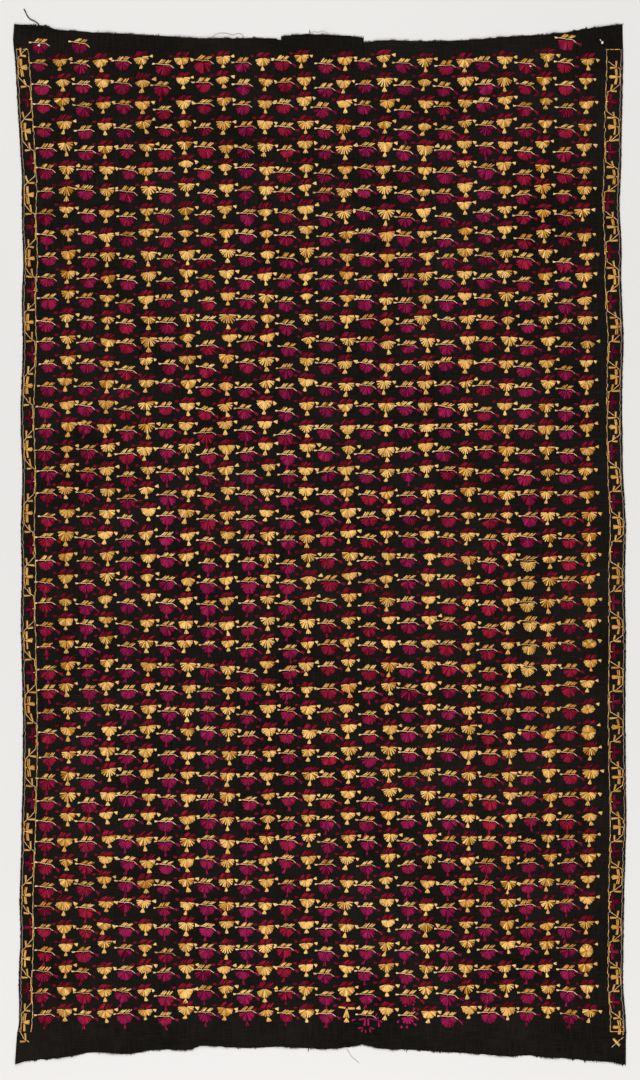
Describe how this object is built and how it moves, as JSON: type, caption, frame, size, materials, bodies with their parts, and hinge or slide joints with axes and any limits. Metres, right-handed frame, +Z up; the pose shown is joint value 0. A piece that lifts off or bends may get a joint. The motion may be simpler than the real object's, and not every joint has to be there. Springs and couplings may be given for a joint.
{
  "type": "phulkari shawl",
  "caption": "Flat embroidered shawl of black handloom cotton panels seamed lengthwise, worn round the head and shoulders or spread as a cover.",
  "frame": {"origin": "on the surface that the shawl lies on, at the middle of the rectangle it covers", "axes": "+Z up out of the face of the cloth, +Y along its length towards the top end, +X across it towards the right-hand edge"},
  "size_m": [1.3489, 2.2877, 0.0014],
  "materials": {
    "panel_left": "black handspun cotton embroidered with silk floss",
    "panel_centre": "black handspun cotton embroidered with silk floss",
    "panel_right": "black handspun cotton embroidered with silk floss"
  },
  "bodies": {
    "root": {"panel_left": "panel_left", "panel_centre": "panel_centre", "panel_right": "panel_right"}
  },
  "joints": []
}
